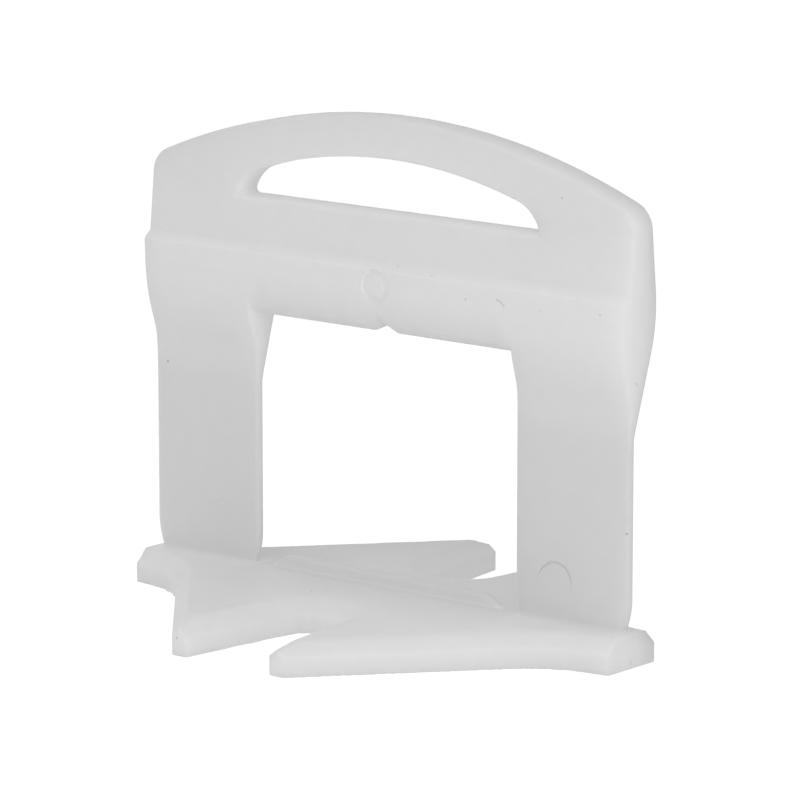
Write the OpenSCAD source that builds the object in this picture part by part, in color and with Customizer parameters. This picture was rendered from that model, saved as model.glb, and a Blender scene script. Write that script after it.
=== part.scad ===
// Tile levelling clip: a one-piece polypropylene moulding.
// The base slides under two neighbouring tiles, the thin legs stand in the joint between them,
// and a wedge driven through the window presses the tiles down level. Afterwards the legs snap
// at the base and the upper part comes away by its handle.
// Frame: X runs along the joint, Y across it with the gate side at -Y, Z up from the underside.

/* [Base] */
// How far each end of the base reaches past the legs
base_past_legs = 0.1; // [0:0.05:4]
// Reach of the base from prong tip to prong tip, across the joint
base_reach = 31.7; // [28:0.1:40]
// Height of the base
base_height = 2.25; // [1.8:0.05:3]
// Width of the two flat ends of the base
base_end_width = 4.9; // [4:0.1:6]
// Radius of the hollow sides beside each end
side_radius = 8.2; // [6:0.1:11]
// Height of the bevel along the upper edges
bevel_height = 0.94; // [0.5:0.02:1.2]
// Width of the bevel along the upper edges
bevel_width = 0.95; // [0.4:0.05:1.1]
// Width of the bevel along the edges of the notches
notch_bevel = 1.2; // [0.6:0.05:1.4]
// Width of the flat tip of each prong
tip_width = 1.2; // [0.8:0.1:2]
// Width of the notch between two prongs at its mouth
notch_mouth = 7; // [5.5:0.1:8]
// Width of the notch at its bottom, between the walls
notch_bottom = 4.3; // [3.6:0.1:5]
// Radius in the bottom corners of the notch
notch_fillet = 1.3; // [0.8:0.1:1.7]
// Width of the web left between the two notches
web_width = 11.8; // [9:0.1:14]

/* [Legs] */
// Thickness of the legs, which is the width of the tile joint
leg_thickness = 0.7; // [0.6:0.05:1.5]
// Distance over both legs
leg_span = 40; // [36:0.1:48]
// Width of the wedge window between the legs
window_width = 21.9; // [20:0.1:25]
// Height of the wedge window above the base
window_height = 17; // [14:0.05:21]
// Radius that narrows the foot of each leg, where it snaps
foot_radius = 5; // [3:0.1:7]
// How far each side of the foot is narrowed
foot_inset = 0.5; // [0.2:0.05:0.8]

/* [Rib] */
// Gap between each end of the rib and the leg beside it
rib_gap = 1.15; // [0.8:0.05:4]
// Height of the rib above the base
rib_height = 0.95; // [0.7:0.05:1.2]
// Radius that rounds off the rib's ends
rib_end_radius = 2.6; // [1.3:0.1:3]

/* [Band] */
// Height of the thick band, from the wedge edge to the step below the handle
band_height = 4.3; // [3.6:0.1:5]
// How far the band stands out in front of the legs
band_front = 0.97; // [0.7:0.01:1.4]
// How far the band stands out behind the legs
band_back = 1.9; // [1.5:0.05:2.2]
// How much the radius of the round lower edge exceeds half the thickness of the band
nose_extra = 0.165; // [0.05:0.005:0.6]
// Height of the flat face on the front of the band
band_flat = 1.5; // [0.8:0.1:2]
// Radius of the swell from the legs to the front of the band
swell_radius = 13; // [9:0.5:16]
// How far the crest of the bulge at the back lies below the step
bulge_drop = 1.3; // [0.8:0.1:2]
// Radius of the bulge at the back of the band
bulge_radius = 10; // [6:0.5:12]
// Lean of the back face from the legs to the bulge, in degrees
back_lean = 16.2; // [14:0.1:18]
// Height of the step from the band to the handle
step_height = 0.5; // [0.3:0.05:1.2]

/* [Handle] */
// How far the handle stands out past the legs on each side
handle_flare = 0.25; // [0:0.05:1.5]
// Height of the handle above the step
handle_height = 9.3; // [8.6:0.05:12]
// Radius of the arched top
arch_radius = 50; // [44:0.5:60]
// Radius of the two shoulders
shoulder_radius = 1.9; // [1:0.1:3]
// Thickness of the handle
handle_thickness = 2.15; // [1.8:0.05:2.4]
// Extra thickness at the front of the handle's root
root_front = 0.37; // [0.05:0.01:0.5]
// Height over which the handle's root thins out
root_height = 3.7; // [3:0.1:4.5]

/* [Finger slot] */
// Length of the slot over its round ends
slot_length = 25.6; // [20:0.1:28]
// Height of the slot in the middle
slot_height = 3.6; // [3:0.05:4.2]
// Height of the slot's floor above the step
slot_sill = 3; // [2:0.05:3.4]
// Radius of the slot's arched top
slot_arch_radius = 37; // [33:0.5:60]
// Radius of the slot's upper corners
slot_corner = 2.8; // [1.4:0.1:3]

/* [Marks] */
// Width of the centre nick in the wedge edge
nick_width = 2.4; // [1.5:0.1:3.5]
// Depth of the centre nick in the wedge edge
nick_depth = 0.53; // [0.3:0.01:0.9]
// Diameter of the round pin marks on the legs
pin_mark = 2.8; // [2:0.1:3.2]
// Distance of each pin mark from the wedge window
pin_inset = 3.2; // [1.8:0.05:5]
// Height of the pin marks above the base
pin_height = 2.55; // [1.6:0.05:6]
// Diameter of the round gate mark on the band
gate_mark = 2.2; // [1.8:0.1:2.4]
// Diameter of the boss left standing inside the gate mark
gate_core = 1.3; // [0.8:0.1:1.5]
// Depth of all the round marks
mark_depth = 0.08; // [0.04:0.01:0.15]

/* [Hidden] */
$fn = 96;

// Room that a cutting shape reaches past the material
over = 2;
// Overlap of shapes that are joined
joint = 0.05;
// How far a straight edge runs into the arc that it meets
snug = 0.001;
natural = [0.86, 0.86, 0.86];

// Heights of the stack, from the underside up
wedge_z = base_height + window_height;
band_z = wedge_z + band_height;
step_z = band_z + step_height;
root_z = step_z + root_height;
top_z = step_z + handle_height;
floor_z = step_z + slot_sill;
bevel_z = base_height - bevel_height;

// Half sizes
half_span = leg_span / 2;
half_length = half_span + base_past_legs;
half_handle = half_span + handle_flare;
half_reach = base_reach / 2;
half_leg = leg_thickness / 2;
half_window = window_width / 2;
half_rib = half_window - rib_gap;

// Hollow side of the base: circle beside the end, and where the straight side runs into it
tip_out = [notch_mouth / 2 + tip_width, half_reach];
side_centre = [half_length, base_end_width / 2 + side_radius];
tip_to_centre = side_centre - tip_out;
side_run = sqrt(pow(norm(tip_to_centre), 2) - pow(side_radius, 2));
side_angle = atan2(tip_to_centre.y, tip_to_centre.x) - atan2(side_radius, side_run);
side_end = tip_out + side_run * [cos(side_angle), sin(side_angle)];
side_joint = side_end + snug * (side_centre - side_end) / side_radius;

// Notch: its wall leans from the bottom corner to the mouth, and a fillet fills the corner
notch_corner = [notch_bottom / 2, web_width / 2];
notch_tip = [notch_mouth / 2, half_reach];
wall_angle = atan2(notch_tip.y - notch_corner.y, notch_tip.x - notch_corner.x);
fillet_shift = notch_fillet * (1 - cos(wall_angle)) / sin(wall_angle);
fillet_centre = notch_corner + [-fillet_shift, notch_fillet];
wall_start = fillet_centre + notch_fillet * [sin(wall_angle), -cos(wall_angle)];
wall_joint = wall_start + snug * (fillet_centre - wall_start) / notch_fillet;

// Faces of the plate
band_y = -half_leg - band_front;
bulge_y = half_leg + band_back;
handle_y = handle_thickness - half_leg;
swell_z = band_z - band_flat;
bulge_centre = [bulge_y - bulge_radius, step_z - bulge_drop];
lean_end = bulge_centre + bulge_radius * [cos(back_lean), -sin(back_lean)];
lean_start = [half_leg, lean_end.y - (lean_end.x - half_leg) / tan(back_lean)];
half_band = (bulge_y - band_y) / 2;
nose_radius = half_band + nose_extra;
nose_centre = [(band_y + bulge_y) / 2, wedge_z + nose_radius];
// How far below its axis the round edge runs into the faces of the band
nose_drop = sqrt(pow(nose_radius, 2) - pow(half_band, 2));

// Centre nick: slope of its flanks, and where the axis of the round edge turns up
nick_angle = atan2(nick_depth, nick_width / 2);
nick_bend = [
    nick_width / 2 + nose_radius * tan(nick_angle / 2),
    nose_centre.x,
    nose_centre.y,
];

// Tangent from the bulge to the top of the handle's root, at the back
root_back = [handle_y, root_z];
bulge_to_root = root_back - bulge_centre;
root_turn = acos(bulge_radius / norm(bulge_to_root));
root_angle = atan2(bulge_to_root.y, bulge_to_root.x) - root_turn;
root_start = bulge_centre + bulge_radius * [cos(root_angle), sin(root_angle)];

// Arched top and its shoulders
arch_z = top_z - arch_radius;
shoulder_x = half_handle - shoulder_radius;
shoulder_z = arch_z + sqrt(pow(arch_radius - shoulder_radius, 2) - pow(shoulder_x, 2));

// Finger slot: arched top with round upper corners over a level floor
slot_arch_z = floor_z + slot_height - slot_arch_radius;
slot_x = slot_length / 2 - slot_corner;
slot_z = slot_arch_z + sqrt(pow(slot_arch_radius - slot_corner, 2) - pow(slot_x, 2));

// Feet of the legs
foot_z = base_height + sqrt(pow(foot_radius, 2) - pow(foot_radius - foot_inset, 2));

module along_x(length) {
    rotate([90, 0, 90])
        translate([0, 0, -length / 2])
            linear_extrude(length)
                children();
}

module along_y(from, to) {
    rotate([90, 0, 0])
        translate([0, 0, -to])
            linear_extrude(to - from)
                children();
}

module quarters() {
    for (x = [0, 1], y = [0, 1])
        mirror([x, 0, 0])
            mirror([0, y, 0])
                children();
}

module both_sides() {
    for (x = [0, 1])
        mirror([x, 0, 0])
            children();
}

// Plan of one quarter of the base, with the notch and the hollow side still filled
module quarter_plan() {
    polygon([
        [-joint, -joint],
        [half_length, -joint],
        [half_length, side_joint.y],
        side_joint,
        tip_out,
        notch_tip,
        wall_joint,
        fillet_centre,
        [fillet_centre.x, notch_corner.y],
        [-joint, notch_corner.y],
    ]);
}

module base_plan() {
    for (x = [0, 1], y = [0, 1])
        mirror([x, 0])
            mirror([0, y])
                difference() {
                    quarter_plan();
                    translate(side_centre)
                        circle(side_radius);
                    translate(fillet_centre)
                        circle(notch_fillet);
                }
}

// Takes the upper edge off along a straight side that has its material on the left
module straight_bevel(start, end, width) {
    run = end - start;
    rise = bevel_height + joint;
    reach = width * rise / bevel_height;
    translate([start.x, start.y, bevel_z])
        rotate([0, 0, atan2(run.y, run.x)])
            rotate([90, 0, 90])
                linear_extrude(norm(run))
                    polygon([[-over, 0], [0, 0], [reach, rise], [-over, rise]]);
}

// Takes the upper edge off around a hollow round side
module round_bevel(centre, radius, width) {
    rise = bevel_height + joint;
    reach = width * rise / bevel_height;
    translate([centre.x, centre.y, bevel_z])
        cylinder(h = rise, r1 = radius, r2 = radius + reach);
}

module base_bevels() {
    past_tip = over * [cos(side_angle), sin(side_angle)];
    past_mouth = over * [cos(wall_angle), sin(wall_angle)];
    quarters() {
        straight_bevel(side_end, tip_out - past_tip, bevel_width);
        round_bevel(side_centre, side_radius, bevel_width);
        straight_bevel(notch_tip + past_mouth, wall_start, notch_bevel);
        round_bevel(fillet_centre, notch_fillet, notch_bevel);
    }
    for (turn = [0, 180])
        rotate([0, 0, turn])
            straight_bevel(
                [fillet_centre.x, notch_corner.y],
                [-fillet_centre.x, notch_corner.y],
                notch_bevel
            );
}

module base() {
    difference() {
        linear_extrude(base_height)
            base_plan();
        base_bevels();
    }
}

module rib() {
    rib_z = base_height + rib_height;
    end_run = sqrt(pow(rib_end_radius, 2) - pow(rib_end_radius - rib_height, 2));
    end_x = half_rib - end_run;
    half_bar = end_x + rib_end_radius;
    along_y(-half_leg, half_leg)
        difference() {
            translate([-half_bar, bevel_z])
                square([2 * half_bar, rib_z - bevel_z]);
            for (side = [-1, 1])
                scale([side, 1])
                    difference() {
                        translate([end_x, rib_z - rib_end_radius])
                            square(rib_end_radius + over);
                        translate([end_x, rib_z - rib_end_radius])
                            circle(rib_end_radius);
                    }
        }
}

// Section of the plate across the joint: legs, swollen band and handle
module plate_section() {
    translate([-half_leg, bevel_z])
        square([leg_thickness, top_z - bevel_z]);
    intersection() {
        translate([band_y + swell_radius, swell_z])
            circle(swell_radius);
        translate([band_y, bevel_z])
            square([-band_y, swell_z - bevel_z]);
    }
    polygon([
        [0, swell_z],
        [band_y, swell_z],
        [band_y, band_z],
        [-half_leg - root_front, step_z],
        [-half_leg, root_z],
        [0, root_z],
    ]);
    intersection() {
        translate(bulge_centre)
            circle(bulge_radius);
        translate([0, lean_end.y])
            square([bulge_y, root_start.y - lean_end.y]);
    }
    polygon([[0, lean_start.y], lean_start, lean_end, [0, lean_end.y]]);
    polygon([[0, root_start.y], root_start, root_back, [handle_y, top_z], [0, top_z]]);
}

// Front view of the plate: legs, flare to the handle, shoulders and arch
module plate_outline() {
    polygon([
        [-half_span, bevel_z],
        [half_span, bevel_z],
        [half_span, lean_start.y],
        [half_handle, step_z],
        [half_handle, shoulder_z],
        [-half_handle, shoulder_z],
        [-half_handle, step_z],
        [-half_span, lean_start.y],
    ]);
    intersection() {
        translate([0, arch_z])
            circle(arch_radius, $fn = 360);
        polygon([
            [0, step_z],
            [shoulder_x, step_z],
            [shoulder_x, shoulder_z],
            [shoulder_x * 2, 2 * shoulder_z - arch_z],
            [-shoulder_x * 2, 2 * shoulder_z - arch_z],
            [-shoulder_x, shoulder_z],
            [-shoulder_x, step_z],
        ]);
    }
    for (side = [-1, 1])
        translate([side * shoulder_x, shoulder_z])
            circle(shoulder_radius);
}

module finger_slot() {
    intersection() {
        union() {
            intersection() {
                translate([0, slot_arch_z])
                    circle(slot_arch_radius, $fn = 360);
                polygon([
                    [0, slot_arch_z],
                    [slot_x * 2, 2 * slot_z - slot_arch_z],
                    [-slot_x * 2, 2 * slot_z - slot_arch_z],
                ]);
            }
            translate([-slot_x, floor_z])
                square([slot_x * 2, slot_height / 2]);
            for (side = [-1, 1])
                translate([side * slot_x, slot_z])
                    circle(slot_corner);
        }
        translate([-slot_length, floor_z])
            square([slot_length * 2, slot_height + over]);
    }
}

// Space between the middle and the plane that mitres the wedge edge where the nick begins
module nick_side() {
    room = 4 * nose_radius;
    intersection() {
        translate(nick_bend)
            rotate([0, nick_angle / 2, 0])
                translate([-room, -room / 2, -room / 2])
                    cube(room);
        translate([0, nick_bend.y - room / 2, nick_bend.z - room / 2])
            cube(room);
    }
}

// Round lower edge of the band on one side of the middle: level, then rising into the centre nick
module wedge_edge() {
    difference() {
        translate([0, nose_centre.x, nose_centre.y])
            rotate([0, 90, 0])
                cylinder(h = half_window + over, r = nose_radius);
        nick_side();
    }
    intersection() {
        translate(nick_bend)
            rotate([0, nick_angle - 90, 0])
                translate([0, 0, -nose_radius])
                    cylinder(h = nose_radius + 2 * nick_bend.x, r = nose_radius);
        nick_side();
    }
}

// Open space under the band: square to the legs, with the wedge edge left round
module window() {
    difference() {
        translate([-half_window, -half_reach, 0])
            cube([window_width, base_reach, nose_centre.y - nose_drop / 2]);
        both_sides()
            wedge_edge();
    }
}

// Curve that narrows one side of a leg's foot, with the side at x = 0 and the leg towards -x
module foot_curve() {
    along_y(-over, over)
        difference() {
            translate([-foot_radius, foot_z - foot_radius])
                square(foot_radius + joint);
            translate([-foot_radius, foot_z])
                circle(foot_radius);
        }
}

module feet_cut() {
    both_sides() {
        translate([half_span, 0, 0])
            foot_curve();
        translate([half_window, 0, 0])
            mirror([1, 0, 0])
                foot_curve();
    }
}

module plate() {
    difference() {
        intersection() {
            along_x(2 * half_handle + over)
                plate_section();
            along_y(-half_reach, half_reach)
                plate_outline();
        }
        window();
        along_y(-half_reach, half_reach)
            finger_slot();
        feet_cut();
    }
}

// Round witness marks of the mould: two pins on the legs and the gate on the band
module marks() {
    for (side = [-1, 1])
        translate([side * (half_window + pin_inset), 0, base_height + pin_height])
            rotate([90, 0, 0])
                translate([0, 0, half_leg - mark_depth])
                    cylinder(h = over, d = pin_mark);
    translate([0, 0, band_z - gate_mark / 2 - mark_depth])
        rotate([90, 0, 0])
            translate([0, 0, -band_y - mark_depth])
                difference() {
                    cylinder(h = over, d = gate_mark);
                    translate([0, 0, -over])
                        cylinder(h = 3 * over, d = gate_core);
                }
}

module clip() {
    color(natural)
        difference() {
            union() {
                base();
                rib();
                plate();
            }
            marks();
        }
}

clip();
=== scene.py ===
from math import acos, atan2, cos, radians, sin, sqrt

import bpy
import numpy as np
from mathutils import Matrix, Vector


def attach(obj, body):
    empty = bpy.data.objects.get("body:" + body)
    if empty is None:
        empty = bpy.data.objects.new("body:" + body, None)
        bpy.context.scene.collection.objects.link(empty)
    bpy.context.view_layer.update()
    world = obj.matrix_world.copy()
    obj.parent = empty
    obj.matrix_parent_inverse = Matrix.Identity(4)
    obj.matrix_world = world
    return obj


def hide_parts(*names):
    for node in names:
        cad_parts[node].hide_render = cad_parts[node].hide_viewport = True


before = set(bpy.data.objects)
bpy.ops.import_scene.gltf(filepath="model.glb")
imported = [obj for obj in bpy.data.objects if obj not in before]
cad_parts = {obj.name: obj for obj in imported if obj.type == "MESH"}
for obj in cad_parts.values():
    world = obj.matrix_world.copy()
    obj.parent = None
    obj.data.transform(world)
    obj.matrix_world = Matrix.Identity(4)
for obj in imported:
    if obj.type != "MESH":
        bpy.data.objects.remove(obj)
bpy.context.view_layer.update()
mm = 0.001  # sizes below are in millimetres, the scene is in metres


# Distances to surfaces are below zero inside the plastic and above zero outside it.
# Two shapes meet where the larger of their distances counts, and join where the smaller counts.

def roundMax(a, b, radius):  # larger of two distances, with the sharp edge between them rounded off
    corner = np.hypot(np.maximum(a + radius, 0), np.maximum(b + radius, 0))
    return np.minimum(np.maximum(a, b), -radius) + corner


def roundMin(a, b, radius):  # smaller of two distances, with the hollow between them filled
    return -roundMax(-a, -b, radius)


baseSizes = {
    "length": 40.2,
    "reach": 31.7,  # from prong tip to prong tip
    "height": 2.25,
    "endWidth": 4.9,  # of the two narrow ends under the legs
    "sideRadius": 8.2,  # of the hollow sides between an end and the prongs
    "bevelHeight": 0.94,
    "bevelWidth": 0.95,
    "notchBevel": 1.2,
    "tipWidth": 1.2,  # of the flat at the tip of a prong
    "notchMouth": 7.0,
    "notchBottom": 4.3,
    "notchFillet": 1.3,
    "webWidth": 11.8,  # between the bottoms of the two notches
    "edge": 0.1,  # rounding of the upright and lower edges
    "softEdge": 0.04,  # rounding along the bevels
}


def baseField(x, y, z):
    # Plan of one quarter: a straight side from the prong's tip runs into a hollow round side,
    # and the notch has a leaning wall with a fillet at its bottom
    s = baseSizes
    px, py = np.abs(x), np.abs(y)
    tip = np.array([s["notchMouth"] / 2 + s["tipWidth"], s["reach"] / 2])
    hollow = np.array([s["length"] / 2, s["endWidth"] / 2 + s["sideRadius"]])
    toHollow = hollow - tip
    run = sqrt(toHollow @ toHollow - s["sideRadius"] ** 2)
    turn = atan2(toHollow[1], toHollow[0]) - atan2(s["sideRadius"], run)
    along = (px - tip[0]) * cos(turn) + (py - tip[1]) * sin(turn)
    straight = (py - tip[1]) * cos(turn) - (px - tip[0]) * sin(turn)
    rounded = s["sideRadius"] - np.hypot(px - hollow[0], py - hollow[1])
    side = np.where(along > run, rounded, straight)

    corner = np.array([s["notchBottom"], s["webWidth"]]) / 2
    lean = atan2(s["reach"] / 2 - corner[1], s["notchMouth"] / 2 - corner[0])
    fillet = s["notchFillet"]
    centre = corner + [-fillet * (1 - cos(lean)) / sin(lean), fillet]
    qx, qy = px - centre[0], py - centre[1]
    wall = qx * sin(lean) - qy * cos(lean)
    inCorner = (qx * cos(lean) + qy * sin(lean) < 0) & (qx > 0)
    notch = fillet - np.where(inCorner, np.hypot(qx, qy), np.maximum(wall, -qy))

    def bevel(distance, width):
        rise = z - s["height"] + s["bevelHeight"]
        return (rise * width + distance * s["bevelHeight"]) / np.hypot(width, s["bevelHeight"])

    ends = roundMax(px - s["length"] / 2, py - s["reach"] / 2, s["edge"])
    walls = roundMax(roundMax(side, ends, s["edge"]), notch, s["edge"])
    bevels = roundMax(bevel(side, s["bevelWidth"]), bevel(notch, s["notchBevel"]), s["softEdge"])
    upper = roundMax(z - s["height"], bevels, s["softEdge"])
    return roundMax(roundMax(walls, -z, s["edge"]), upper, s["softEdge"])


plateSizes = {
    "legThickness": 0.7,
    "legSpan": 40.0,
    "windowWidth": 21.9,
    "windowHeight": 17.0,
    "footRadius": 5.0,
    "footInset": 0.5,  # what each side of a leg draws in
    "bandHeight": 4.3,
    "bandFront": 0.97,  # how far the band stands out from the legs
    "bandBack": 1.9,
    "noseExtra": 0.165,  # radius of the edge over the window, past half the band
    "bandFlat": 1.5,  # flat height at the top of the band
    "swellRadius": 13.0,
    "bulgeDrop": 1.3,  # from the step down to the middle of the bulge
    "bulgeRadius": 10.0,
    "backLean": 16.2,  # in degrees
    "stepHeight": 0.5,
    "handleFlare": 0.25,  # what the handle is wider than the legs on each side
    "handleHeight": 9.3,
    "archRadius": 50.0,
    "shoulderRadius": 1.9,
    "handleThickness": 2.15,
    "rootFront": 0.37,  # how far the root of the handle stands out at the step
    "rootHeight": 3.7,  # height over which the root thins to the handle
    "slotLength": 25.6,
    "slotHeight": 3.6,
    "slotSill": 3.0,  # from the step up to the floor of the slot
    "slotArchRadius": 37.0,
    "slotCorner": 2.8,
    "slotFillet": 0.4,
    "nickWidth": 2.4,
    "nickDepth": 0.53,
    "edge": 0.28,
    "fillet": 0.25,
    "blend": 0.1,  # half the height over which the bends of the section are eased
    "swellBlend": 1.5,  # the same, where the legs begin to swell
    "rootDepth": 1.2,  # how far the plate reaches down into the base
    "sectionStep": 0.01,  # spacing of the heights at which the section is worked out
    "sectionSpare": 1.0,  # how far these heights run on below and above the clip
}


def plateHeights():
    # Lowest line of the edge over the window, top of the band, top of the step, top of the handle
    s = plateSizes
    wedge = baseSizes["height"] + s["windowHeight"]
    band = wedge + s["bandHeight"]
    step = band + s["stepHeight"]
    return {"wedge": wedge, "band": band, "step": step, "top": step + s["handleHeight"]}


def easeLine(line, reach):  # each value becomes a weighted mean of its neighbours up to the reach
    reach = round(reach)
    kernel = np.hanning(2 * reach + 3)[1:-1]
    return np.convolve(np.pad(line, reach, mode="edge"), kernel / kernel.sum(), "valid")


def plateSection():
    # How far the front and the back of the plate stand out from its middle, along its height:
    # front = legs, swelling on an arc to the band, stepping back to the handle
    # back = legs, leaning out to a round bulge, then straight to the handle
    s = plateSizes
    h = plateHeights()
    half = s["legThickness"] / 2
    root = h["step"] + s["rootHeight"]
    spacing = s["sectionStep"]
    z = np.arange(-s["sectionSpare"], h["top"] + s["sectionSpare"], spacing)

    swell = h["band"] - s["bandFlat"]
    arc = np.sqrt(np.maximum(s["swellRadius"] ** 2 - (z - swell) ** 2, 0))
    swollen = np.maximum(half, half + s["bandFront"] - s["swellRadius"] + arc)
    swollen = easeLine(np.where(z < swell, swollen, half + s["bandFront"]), s["swellBlend"] / spacing)
    stepped = np.interp(
        z,
        [h["band"], h["step"], root],
        [half + s["bandFront"], half + s["rootFront"], half],
    )
    front = np.where(z < swell, swollen, stepped)

    lean = radians(s["backLean"])
    bulge = s["bulgeRadius"]
    centre = np.array([half + s["bandBack"] - bulge, h["step"] - s["bulgeDrop"]])
    leanEnd = centre + bulge * np.array([cos(lean), -sin(lean)])
    leanStart = leanEnd[1] - (leanEnd[0] - half) * cos(lean) / sin(lean)
    rootBack = np.array([s["handleThickness"] - half, root])
    toRoot = rootBack - centre
    angle = atan2(toRoot[1], toRoot[0]) - acos(bulge / np.hypot(*toRoot))
    rootStart = centre + bulge * np.array([cos(angle), sin(angle)])
    straight = np.interp(
        z,
        [leanStart, leanEnd[1], rootStart[1], root],
        [half, leanEnd[0], rootStart[0], rootBack[0]],
    )
    bulged = centre[0] + np.sqrt(np.maximum(bulge ** 2 - (z - centre[1]) ** 2, 0))
    back = np.where((z > leanEnd[1]) & (z < rootStart[1]), bulged, straight)

    front, back = (easeLine(line, s["blend"] / spacing) for line in (front, back))
    return z, front, back, leanStart


def slotField(x, z):
    # Finger slot: level floor with small corners, arched top with large ones
    s = plateSizes
    px = np.abs(x)
    floorZ = plateHeights()["step"] + s["slotSill"]
    archZ = floorZ + s["slotHeight"] - s["slotArchRadius"]
    cornerX = s["slotLength"] / 2 - s["slotCorner"]
    cornerZ = archZ + sqrt((s["slotArchRadius"] - s["slotCorner"]) ** 2 - cornerX ** 2)
    inCorner = px * (cornerZ - archZ) > (z - archZ) * cornerX
    top = np.where(
        inCorner,
        np.hypot(px - cornerX, z - cornerZ) - s["slotCorner"],
        np.hypot(px, z - archZ) - s["slotArchRadius"],
    )
    return roundMax(top, floorZ - z, s["slotFillet"])


def plateField(x, y, z):
    # Section along the height, cut to the outline seen from the front, less the window and the slot
    s = plateSizes
    h = plateHeights()
    px = np.abs(x)
    heights, front, back, leanStart = plateSection()
    faces = []
    for side, line in ((-y, front), (y, back)):
        lean = np.interp(z, heights, np.gradient(line, heights))
        faces.append((side - np.interp(z, heights, line)) / np.hypot(1, lean))
    section = np.maximum(*faces)

    # Each side of a leg draws in on an arc towards its foot
    footLow = baseSizes["height"]
    footTop = footLow + sqrt(s["footRadius"] ** 2 - (s["footRadius"] - s["footInset"]) ** 2)
    below = np.clip(footTop - z, 0, footTop - footLow)
    inset = s["footRadius"] - np.sqrt(s["footRadius"] ** 2 - below ** 2)

    # Outline: legs that flare to the handle, and an arch that runs into round shoulders
    halfSpan = s["legSpan"] / 2
    halfHandle = halfSpan + s["handleFlare"]
    sides = px - np.interp(z, [leanStart, h["step"]], [halfSpan, halfHandle]) + inset
    archZ = h["top"] - s["archRadius"]
    arch = np.hypot(px, z - archZ) - s["archRadius"]
    shoulder = s["shoulderRadius"]
    shoulderX = halfHandle - shoulder
    shoulderZ = archZ + sqrt((s["archRadius"] - shoulder) ** 2 - shoulderX ** 2)
    inShoulder = (z > shoulderZ) & (px * (shoulderZ - archZ) > (z - archZ) * shoulderX)
    outline = np.where(
        inShoulder,
        np.hypot(px - shoulderX, z - shoulderZ) - shoulder,
        np.maximum(sides, arch),
    )

    # Window: between the legs, under a round edge that rises into the centre nick
    halfBand = (s["legThickness"] + s["bandFront"] + s["bandBack"]) / 2
    noseY = (s["bandBack"] - s["bandFront"]) / 2
    noseRadius = halfBand + s["noseExtra"]
    rise = s["nickDepth"] * np.clip(1 - px / (s["nickWidth"] / 2), 0, 1)
    underNose = noseRadius - np.hypot(y - noseY, np.minimum(z - h["wedge"] - noseRadius - rise, 0))
    window = np.maximum(px - s["windowWidth"] / 2 - inset, underNose)

    plate = roundMax(section, outline, s["edge"])
    plate = roundMax(plate, -window, s["edge"])
    plate = roundMax(plate, -slotField(x, z), s["edge"])
    return np.maximum(plate, baseSizes["height"] - s["rootDepth"] - z)


ribSizes = {"gap": 1.15, "height": 0.95, "endRadius": 2.6, "edge": 0.25, "fillet": 0.25}


def ribField(x, y, z):
    # Thin upright bar between the legs, each end running down to the base on an arc
    s = ribSizes
    endRun = sqrt(s["endRadius"] ** 2 - (s["endRadius"] - s["height"]) ** 2)
    endX = plateSizes["windowWidth"] / 2 - s["gap"] - endRun
    endZ = baseSizes["height"] + s["height"] - s["endRadius"]
    qx, qz = np.abs(x) - endX, z - endZ
    corner = np.hypot(np.maximum(qx, 0), np.maximum(qz, 0))
    bar = np.minimum(np.maximum(qx, qz), 0) + corner - s["endRadius"]
    bar = np.maximum(bar, baseSizes["height"] - plateSizes["rootDepth"] - z)
    return roundMax(bar, np.abs(y) - plateSizes["legThickness"] / 2, s["edge"])


markSizes = {
    "pin": 2.8,
    "pinInset": 3.2,
    "pinHeight": 2.55,
    "pinDepths": (0.04, 0.2),  # left and right, at the top of the mark, which runs out at its middle
    "gate": 2.2,
    "gateCore": 1.3,
    "gateDepth": 0.2,
    "slope": 0.12,  # width of the sloping wall round a mark
}


def sunk(distance):  # 1 well inside an outline, 0 well outside it, with a smooth slope between
    share = np.clip(0.5 - distance / markSizes["slope"], 0, 1)
    return share * share * (3 - 2 * share)


def markDepth(x, y, z):
    # Shallow round marks of the mould: a tilted disc on the front of each leg, a ring on the band
    s = markSizes
    pinX = plateSizes["windowWidth"] / 2 + s["pinInset"]
    pinZ = z - baseSizes["height"] - s["pinHeight"]
    disc = sunk(np.hypot(np.abs(x) - pinX, pinZ) - s["pin"] / 2)
    tilt = np.clip(pinZ / (s["pin"] / 2), 0, 1)
    pins = disc * np.where(x < 0, *s["pinDepths"]) * tilt
    away = np.hypot(x, z - plateHeights()["band"] + s["gate"] / 2)
    ring = sunk(np.maximum(away - s["gate"] / 2, s["gateCore"] / 2 - away))
    return np.where(y < 0, pins + s["gateDepth"] * ring, 0)


def clipField(x, y, z):
    # Base, plate and rib grown together with small fillets, less the shallow marks
    body = roundMin(baseField(x, y, z), plateField(x, y, z), plateSizes["fillet"])
    return roundMin(body, ribField(x, y, z), ribSizes["fillet"]) + markDepth(x, y, z)


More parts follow.
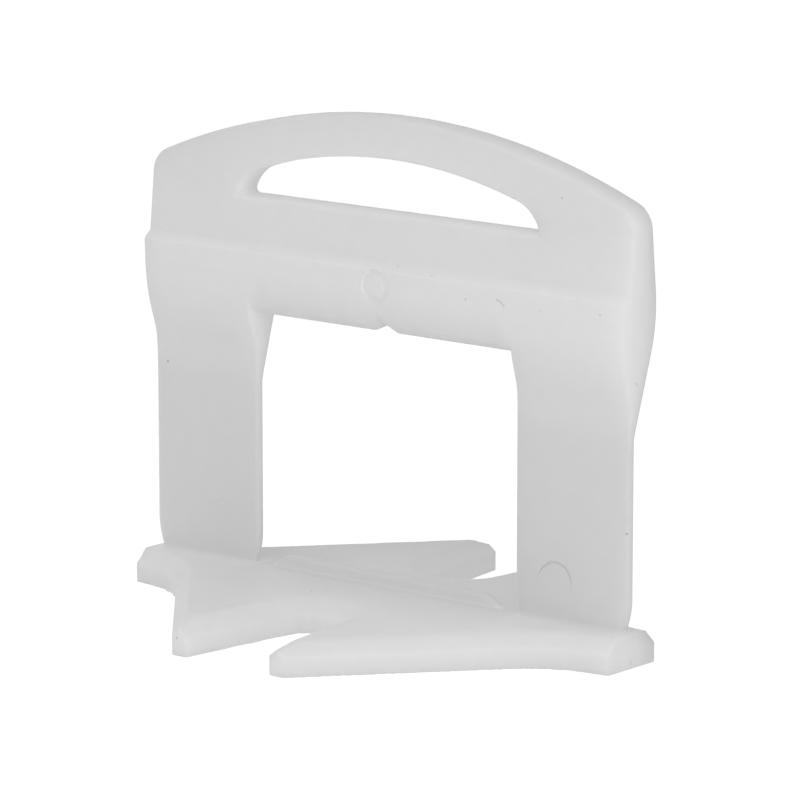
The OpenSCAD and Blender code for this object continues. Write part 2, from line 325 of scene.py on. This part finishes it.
# Steps of the grid in each stretch, as (where the stretch ends, step): finer at edges and marks
skinGrid = {
    "x": [
        (0, 0), (1.0, 0.1), (1.4, 0.06), (3.2, 0.36), (5.0, 0.12), (10.5, 0.45), (11.5, 0.11),
        (12.6, 0.36), (15.7, 0.14), (19.5, 0.45), (20.45, 0.1),
    ],
    "y": [
        (-16.0, 0), (-15.6, 0.1), (-2.6, 0.44), (-1.6, 0.2), (2.5, 0.115), (15.6, 0.44), (16.0, 0.1),
    ],
    "z": [
        (-0.2, 0), (0.25, 0.09), (1.1, 0.2), (1.6, 0.1), (2.1, 0.16), (3.4, 0.1), (6.6, 0.155),
        (7.2, 0.3), (16.6, 0.8), (19.0, 0.3), (20.2, 0.12), (21.4, 0.24), (24.4, 0.11), (27.0, 0.28),
        (27.4, 0.1), (31.0, 0.24), (33.55, 0.175),
    ],
    "settle": 6,  # rounds in which each point is drawn onto the surface
    "leastSteep": 0.25,  # squared slope below which the steps of a round grow no longer
    "probe": 0.01,  # reach of the slopes that draw a point onto the surface
    "baseProbe": 0.25,  # wider reach that softens the shading of the base's bevels
}


def gridLine(stretches):
    starts = [end for end, step in stretches[:-1]]
    pieces = [
        np.linspace(start, end, max(round((end - start) / step), 1), endpoint=False)
        for start, (end, step) in zip(starts, stretches[1:])
    ]
    return np.concatenate(pieces + [[stretches[-1][0]]])


def slopes(points, reach=skinGrid["probe"]):
    # Rise of the distance along each axis, from two probes on either side of every point
    steps = np.eye(3) * reach
    return np.stack(
        [(clipField(*(points + d).T) - clipField(*(points - d).T)) / (2 * reach) for d in steps],
        axis=1,
    )


cellCorners = [(i, j, k) for i in (0, 1) for j in (0, 1) for k in (0, 1)]
unitSteps = np.eye(3, dtype=int)


def crossedCells(inside):
    # Grid cells that the surface passes through, and the number of each; other cells have -1
    size = [n - 1 for n in inside.shape]
    filled = sum(
        inside[i:i + size[0], j:j + size[1], k:k + size[2]].astype(np.int8)
        for i, j, k in cellCorners
    )
    active = np.argwhere((filled > 0) & (filled < len(cellCorners)))
    number = np.full(size, -1, np.int32)
    number[tuple(active.T)] = np.arange(len(active))
    return active, number


def meanCrossings(lines, field, active):
    # Mean of the places where the surface crosses the edges of each cell
    total = np.zeros((len(active), 3))
    count = np.zeros(len(active))
    for corner in cellCorners:
        for axis in range(3):
            if corner[axis]:
                continue
            near = active + corner
            far = near + unitSteps[axis]
            a = field[tuple(near.T)]
            b = field[tuple(far.T)]
            crossed = (a < 0) != (b < 0)
            share = np.where(crossed, a / np.where(crossed, a - b, 1), 0)
            start = np.stack([lines[n][near[:, n]] for n in range(3)], axis=1)
            end = np.stack([lines[n][far[:, n]] for n in range(3)], axis=1)
            total += crossed[:, None] * (start + share[:, None] * (end - start))
            count += crossed
    return total / count[:, None]


def settle(points):
    # Each round moves a point down its slope by its distance over the slope squared
    for _ in range(skinGrid["settle"]):
        slope = slopes(points)
        steep = np.maximum((slope ** 2).sum(1), skinGrid["leastSteep"])
        points = points - (clipField(*points.T) / steep)[:, None] * slope
    return points


def skinNormals(points):
    # Slopes at the points, taken over a wider reach on the base, clear of the plate and the rib
    normals = slopes(points)
    x, y, z = points.T
    onBase = z < baseSizes["height"] + skinGrid["probe"]
    onBase &= plateField(x, y, z) > plateSizes["fillet"]
    onBase &= ribField(x, y, z) > ribSizes["fillet"]
    normals[onBase] = slopes(points[onBase], skinGrid["baseProbe"])
    return normals / np.linalg.norm(normals, axis=1, keepdims=True)


def cellQuads(inside, number):
    # A quad round each grid edge that the surface crosses, from the four cells at that edge
    quads = []
    for axis in range(3):
        u, v = (axis + 1) % 3, (axis + 2) % 3
        last = inside.shape[axis] - 1
        low = np.take(inside, range(last), axis)
        high = np.take(inside, range(1, last + 1), axis)
        edges = np.argwhere(low != high)
        edges = edges[(edges[:, u] > 0) & (edges[:, v] > 0)]
        outward = low[tuple(edges.T)]
        du, dv = unitSteps[u], unitSteps[v]
        ring = [number[tuple((edges - shift).T)] for shift in (du + dv, dv, 0 * du, du)]
        ring = np.stack(ring, axis=1)
        quads.append(np.where(outward[:, None], ring, ring[:, ::-1]))
    return np.concatenate(quads)


def skinArrays():
    # One point in each cell that the surface passes through, drawn onto the surface, and their quads
    right = gridLine(skinGrid["x"])
    lines = [
        np.concatenate([-right[:0:-1], right]),
        gridLine(skinGrid["y"]),
        gridLine(skinGrid["z"]),
    ]
    field = clipField(*np.meshgrid(*lines, indexing="ij", sparse=True))
    inside = field < 0
    active, number = crossedCells(inside)
    points = settle(meanCrossings(lines, field, active))
    return points, skinNormals(points), cellQuads(inside, number)


# Depths of the painted light and shade that set the plastic's tone
paintedLightEase = {
    "reach": 4.5,  # how far along the plate a change of thickness is felt
    # painted light that lightens the feet of the legs
    "footPaintedLight": 10.0,  # what the base counts for where the legs stand on it
    "prongWall": 5.3,
    # painted shade on the base next to the plate
    "rootPaintedShade": 2.8,
    "rootReach": 7.0,  # distance from the plate at which the base counts as prongs
    "footBlend": 1.5,  # distance from a leg over which its foot turns into base
    "ribWall": 8.0,
    # painted light on faces turned to the sides
    "sidePaintedLight": 4.5,  # at the sides of the plate, which are seen edge on
    # painted light on the faces inside the slot
    "slotPaintedLight": 5.2,
    # painted shade under the round edge over the window, strongest at its lowest line
    "nosePaintedShade": 2.4,  # what the round edge over the window loses at its lowest line
    "noseReach": 3.0,  # height over which it gets that back
    "noseFade": 1.0,  # distance from the legs over which the loss begins
}


def paintedWallLight(points, normals):
    # Painted light: a depth that sets the plastic's tone, standing in for light spreading in it.
    # Plate: its thickness along its height, eased, with painted shade at the round edge over the
    # window and painted light at its sides and in the slot
    s = paintedLightEase
    heights, front, back, _ = plateSection()
    # Below the top of the base: painted light that lightens the feet of the legs
    thick = np.where(heights < baseSizes["height"], s["footPaintedLight"], front + back)
    eased = easeLine(thick, s["reach"] / plateSizes["sectionStep"])
    x, y, z = points.T
    plate = np.interp(z, heights, eased)
    # Painted shade under the round edge over the window, fading upwards and towards the legs
    above = np.clip((z - plateHeights()["wedge"]) / s["noseReach"], 0, 1)
    overWindow = np.clip((plateSizes["windowWidth"] / 2 - np.abs(x)) / s["noseFade"], 0, 1)
    plate -= np.where(above > 0, s["nosePaintedShade"] * (1 - above) * overWindow, 0)
    # Painted light on the faces that turn to the sides
    plate += np.maximum(s["sidePaintedLight"] - plate, 0) * normals[:, 0] ** 2
    # Painted light on the faces inside the slot
    inSlot = slotField(x, z) < plateSizes["edge"]
    plate += np.where(inSlot, s["slotPaintedLight"] - plate, 0) * (1 - normals[:, 1] ** 2)

    # Base: painted shade next to the plate, fading out towards the prongs, the rib counting as thick
    base = np.interp(np.abs(y), [0, s["rootReach"]], [s["rootPaintedShade"], s["prongWall"]])
    base = np.where(z > baseSizes["height"] + ribSizes["fillet"] / 2, s["ribWall"], base)

    # Share of the base in each point: all of it between the legs, rising ahead of and behind them
    share = np.clip((np.abs(y) - plateSizes["legThickness"] / 2) / s["footBlend"], 0, 1)
    share = np.where(np.abs(x) < plateSizes["windowWidth"] / 2, 1, share)
    ribTop = baseSizes["height"] + ribSizes["height"] + ribSizes["edge"]
    share = np.where(z < ribTop, share, 0)
    return plate + (base - plate) * share


def makeClip():
    points, normals, quads = skinArrays()
    mesh = bpy.data.meshes.new("clipSkin")
    mesh.vertices.add(len(points))
    mesh.vertices.foreach_set("co", (points * mm).astype(np.float32).ravel())
    mesh.loops.add(quads.size)
    mesh.loops.foreach_set("vertex_index", quads.astype(np.int32).ravel())
    mesh.polygons.add(len(quads))
    mesh.polygons.foreach_set("loop_start", np.arange(0, quads.size, 4, dtype=np.int32))
    mesh.update(calc_edges=True)
    mesh.polygons.foreach_set("use_smooth", np.ones(len(quads), bool))
    # Painted light and shade of the plastic, as a depth at each point that sets its tone
    wall = mesh.attributes.new("paintedWallLight", "FLOAT", "POINT")
    wall.data.foreach_set("value", paintedWallLight(points, normals).astype(np.float32))
    mesh.validate()
    mesh.normals_split_custom_set_from_vertices(normals.tolist())
    clip = bpy.data.objects.new("levellingClip", mesh)
    bpy.context.scene.collection.objects.link(clip)
    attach(clip, "root")
    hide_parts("clip")
    print("clip skin:", len(points), "points,", 2 * len(quads), "triangles")
    return clip


plasticFinish = {
    "thinTone": 0.70,
    "thickTone": 0.93,
    "thinWall": 0.7,
    "thickWall": 7.0,
    "mottle": 0.008,
    "mottleSize": 1.2,
    "mottleDetail": 4,
    "roughness": 0.58,
    "roughnessSpread": 0.06,
    "roughnessSize": 0.4,
    "scatter": 1.0,
    "scatterReach": 8.0,
    "grainSize": 0.25,
    "grainHeight": 0.006,
    "fineDetail": 3,
    "noiseRange": (0.3, 0.7),  # where the values of the noise mostly lie
    "refraction": 1.49,
}

# Shade along the sunken upper edge of the right-hand pin mark: a crescent left between two rounds
pinShade = {"dark": 0.6, "shift": (0.02, 0.16), "soft": 0.08}

# Dirt that the moulding has picked up: place on the clip, radius, and how dark it is;
# a speck is darkest inside the first share of its radius and gone at the second
speckRim = (0.4, 1.2)
dirtSpecks = [
    ((-18.94, -0.35, 15.10), 0.11, 0.55),
    ((19.86, -0.31, 8.80), 0.10, 0.50),
    ((-4.26, -15.85, 1.21), 0.10, 0.40),
    ((1.65, -0.88, 23.92), 0.14, 0.10),
    ((4.68, -1.15, 23.69), 0.11, 0.12),
    ((7.60, -1.30, 22.51), 0.08, 0.30),
    ((10.15, -1.30, 22.76), 0.11, 0.22),
    ((10.33, -1.30, 22.70), 0.11, 0.22),
    ((10.50, -1.30, 22.60), 0.11, 0.22),
    ((10.68, -1.30, 22.46), 0.11, 0.22),
    ((13.63, -1.32, 22.48), 0.09, 0.15),
    ((18.38, -1.32, 22.76), 0.09, 0.20),
    ((14.57, -0.35, 29.64), 0.09, 0.25),
    ((-1.63, -0.08, 27.05), 0.09, 0.25),
    ((-3.03, -4.08, 2.25), 0.11, 0.30),
    ((-4.62, -10.55, 2.25), 0.10, 0.28),
    ((-4.42, -10.35, 2.25), 0.10, 0.28),
    ((20.10, 0.27, 18.35), 0.10, 0.25),
    ((20.10, -0.06, 0.35), 0.10, 0.15),
    ((20.10, -0.06, 0.52), 0.10, 0.15),
]


def addNode(tree, kind, inputs=None, **settings):
    node = tree.nodes.new(kind)
    for name, value in settings.items():
        setattr(node, name, value)
    for name, value in (inputs or {}).items():
        if isinstance(value, bpy.types.NodeSocket):
            tree.links.new(value, node.inputs[name])
        else:
            node.inputs[name].default_value = value
    return node


def mathNode(tree, operation, *values):
    return addNode(tree, "ShaderNodeMath", dict(enumerate(values)), operation=operation).outputs[0]


def spanNode(tree, value, low, high, toLow, toHigh, ease="SMOOTHSTEP"):
    inputs = {"Value": value, "From Min": low, "From Max": high, "To Min": toLow, "To Max": toHigh}
    return addNode(tree, "ShaderNodeMapRange", inputs, interpolation_type=ease).outputs[0]


def noiseNode(tree, place, size, detail):
    inputs = {"Vector": place, "Scale": 1 / (size * mm), "Detail": detail}
    return addNode(tree, "ShaderNodeTexNoise", inputs).outputs["Fac"]


def awayNode(tree, place, spot):  # distance from a spot on the clip
    inputs = {0: place, 1: [v * mm for v in spot]}
    return addNode(tree, "ShaderNodeVectorMath", inputs, operation="DISTANCE").outputs["Value"]


def addSpecks(tree, place, tone):
    for spot, radius, dark in dirtSpecks:
        inner, outer = (share * radius * mm for share in speckRim)
        keep = spanNode(tree, awayNode(tree, place, spot), inner, outer, 1 - dark, 1)
        tone = mathNode(tree, "MULTIPLY", tone, keep)
    return tone


def addPinShade(tree, place, tone):
    # Crescent: inside the mark, outside a round shifted down and to the left, and on the front face
    s = pinShade
    radius = markSizes["pin"] / 2
    x = plateSizes["windowWidth"] / 2 + markSizes["pinInset"]
    y = -plateSizes["legThickness"] / 2
    z = baseSizes["height"] + markSizes["pinHeight"]
    rim = ((radius - s["soft"]) * mm, radius * mm)
    inMark = spanNode(tree, awayNode(tree, place, (x, y, z)), *rim, 1, 0)
    shifted = (x - s["shift"][0], y, z - s["shift"][1])
    pastShifted = spanNode(tree, awayNode(tree, place, shifted), *rim, 0, 1)
    crescent = mathNode(tree, "MULTIPLY", inMark, pastShifted)
    depth = addNode(tree, "ShaderNodeSeparateXYZ", {0: place}).outputs["Y"]
    crescent = mathNode(tree, "MULTIPLY", crescent, spanNode(tree, depth, y * mm, 0, 1, 0))
    keep = spanNode(tree, crescent, 0, 1, 1, 1 - s["dark"], "LINEAR")
    return mathNode(tree, "MULTIPLY", tone, keep)


def naturalPlastic():
    # Milky plastic: the thicker the wall, the whiter it is painted, painted light standing in for
    # light spreading in it; dirt specks and painted shade at the pin mark darken it
    s = plasticFinish
    material = bpy.data.materials.new("naturalPlastic")
    material.use_nodes = True
    tree = material.node_tree
    tree.nodes.clear()
    place = addNode(tree, "ShaderNodeTexCoord").outputs["Object"]

    def spread(size, detail, middle, half):  # noise that wanders this far either side of a middle
        noise = noiseNode(tree, place, size, detail)
        return spanNode(tree, noise, *s["noiseRange"], middle - half, middle + half)

    # The tone rises with the painted light depth
    wall = addNode(tree, "ShaderNodeAttribute", attribute_name="paintedWallLight").outputs["Fac"]
    tone = spanNode(tree, wall, s["thinWall"], s["thickWall"], s["thinTone"], s["thickTone"], "LINEAR")
    mottle = spread(s["mottleSize"], s["mottleDetail"], 1, s["mottle"])
    tone = mathNode(tree, "MULTIPLY", tone, mottle)
    tone = addSpecks(tree, place, tone)
    tone = addPinShade(tree, place, tone)
    grain = addNode(tree, "ShaderNodeBump", {
        "Height": noiseNode(tree, place, s["grainSize"], s["fineDetail"]),
        "Distance": s["grainHeight"] * mm,
    }).outputs["Normal"]
    shader = addNode(tree, "ShaderNodeBsdfPrincipled", {
        "Base Color": tone,
        "Roughness": spread(s["roughnessSize"], s["fineDetail"], s["roughness"], s["roughnessSpread"]),
        "Normal": grain,
        "IOR": s["refraction"],
        "Subsurface Weight": s["scatter"],
        "Subsurface Radius": (1, 1, 1),
        "Subsurface Scale": s["scatterReach"] * mm,
    })
    output = addNode(tree, "ShaderNodeOutputMaterial")
    tree.links.new(shader.outputs["BSDF"], output.inputs["Surface"])
    return material


cameraPlace = {
    "azimuth": 39.697,
    "elevation": 11.330,
    "distance": 330.62,
    "aim": (0.519, 0.431, 14.961),
    "lens": 229.9,
    "nearest": 10.0,  # what lies nearer or farther than these two isn't drawn
    "farthest": 20000.0,
}


def directionFrom(azimuth, elevation):  # from the clip towards a camera or a light, angles in degrees
    turn = radians(azimuth)
    rise = radians(elevation)
    return Vector((sin(turn) * cos(rise), -cos(turn) * cos(rise), sin(rise)))


def placeCamera():
    s = cameraPlace
    back = directionFrom(s["azimuth"], s["elevation"])
    lens = bpy.data.cameras.new("photoCamera")
    lens.lens = s["lens"]
    lens.clip_start = s["nearest"] * mm
    lens.clip_end = s["farthest"] * mm
    camera = bpy.data.objects.new("photoCamera", lens)
    bpy.context.scene.collection.objects.link(camera)
    camera.location = (Vector(s["aim"]) + back * s["distance"]) * mm
    camera.rotation_euler = (-back).to_track_quat("-Z", "Y").to_euler()
    bpy.context.scene.camera = camera


# Soft lights: direction they come from, distance and width in metres, strength in watts
softLights = {
    "keyLight": {"azimuth": 30, "elevation": 42, "distance": 0.16, "width": 0.18, "power": 0.055},
    "sideLight": {"azimuth": 65, "elevation": 10, "distance": 0.25, "width": 0.2, "power": 0.135},
    "fillLight": {"azimuth": -45, "elevation": 35, "distance": 0.25, "width": 0.2, "power": 0.07},
}
lightAim = (0, 0, 0.015)  # point that they are turned to, in metres


def addLights():
    for name, s in softLights.items():
        away = directionFrom(s["azimuth"], s["elevation"])
        lamp = bpy.data.lights.new(name, "AREA")
        lamp.shape = "DISK"
        lamp.size = s["width"]
        lamp.energy = s["power"]
        light = bpy.data.objects.new(name, lamp)
        bpy.context.scene.collection.objects.link(light)
        light.location = away * s["distance"] + Vector(lightAim)
        light.visible_camera = False
        light.rotation_euler = (-away).to_track_quat("-Z", "Y").to_euler()


studio = {
    "worldLight": 0.38,
    "floorTone": 0.9,
    "floorLift": 0.21,  # light that the floor gives back to the clip
    "floorGlow": 0.9,  # what the camera sees of the floor, with its shade on top
    "floorShade": 0.3,
    "floorWidth": 4.0,  # in metres
    "floorDrop": 0.02,  # gap under the clip, in millimetres
}


def seenByCamera(tree):
    # 1 for what the camera sees straight, in a gloss or through a clear piece, else 0
    path = addNode(tree, "ShaderNodeLightPath")
    seen = mathNode(tree, "MAXIMUM", path.outputs["Is Camera Ray"], path.outputs["Is Glossy Ray"])
    return mathNode(tree, "MAXIMUM", seen, path.outputs["Is Transmission Ray"])


def addWorld():
    world = bpy.data.worlds.new("studio")
    world.use_nodes = True
    tree = world.node_tree
    tree.nodes.clear()
    strength = spanNode(tree, seenByCamera(tree), 0, 1, studio["worldLight"], 1)
    back = addNode(tree, "ShaderNodeBackground", {"Color": (1, 1, 1, 1), "Strength": strength})
    output = addNode(tree, "ShaderNodeOutputWorld")
    tree.links.new(back.outputs[0], output.inputs["Surface"])
    bpy.context.scene.world = world


def addFloor():
    # White to the camera, with the shade under the clip kept; plain pale to every other ray
    s = studio
    half = s["floorWidth"] / 2
    low = -s["floorDrop"] * mm
    mesh = bpy.data.meshes.new("floor")
    corners = [(-half, -half, low), (half, -half, low), (half, half, low), (-half, half, low)]
    mesh.from_pydata(corners, [], [(0, 1, 2, 3)])
    floor = bpy.data.objects.new("floor", mesh)
    bpy.context.scene.collection.objects.link(floor)
    material = bpy.data.materials.new("whiteFloor")
    material.use_nodes = True
    tree = material.node_tree
    tree.nodes.clear()
    plain = addNode(tree, "ShaderNodeBsdfDiffuse", {"Color": (s["floorTone"],) * 3 + (1,)})
    lift = addNode(tree, "ShaderNodeEmission", {"Strength": s["floorLift"]})
    plain = addNode(tree, "ShaderNodeAddShader", {0: plain.outputs[0], 1: lift.outputs[0]})
    shaded = addNode(tree, "ShaderNodeBsdfDiffuse", {"Color": (s["floorShade"],) * 3 + (1,)})
    glow = addNode(tree, "ShaderNodeEmission", {"Strength": s["floorGlow"]})
    seen = addNode(tree, "ShaderNodeAddShader", {0: shaded.outputs[0], 1: glow.outputs[0]})
    inputs = {0: seenByCamera(tree), 1: plain.outputs[0], 2: seen.outputs[0]}
    both = addNode(tree, "ShaderNodeMixShader", inputs)
    output = addNode(tree, "ShaderNodeOutputMaterial")
    tree.links.new(both.outputs[0], output.inputs["Surface"])
    mesh.materials.append(material)


placeCamera()
print("camera placed")
clip = makeClip()
clip.data.materials.append(naturalPlastic())
print("plastic finished")
addLights()
addWorld()
addFloor()
bpy.context.scene.view_settings.view_transform = "Standard"
print("studio lit")
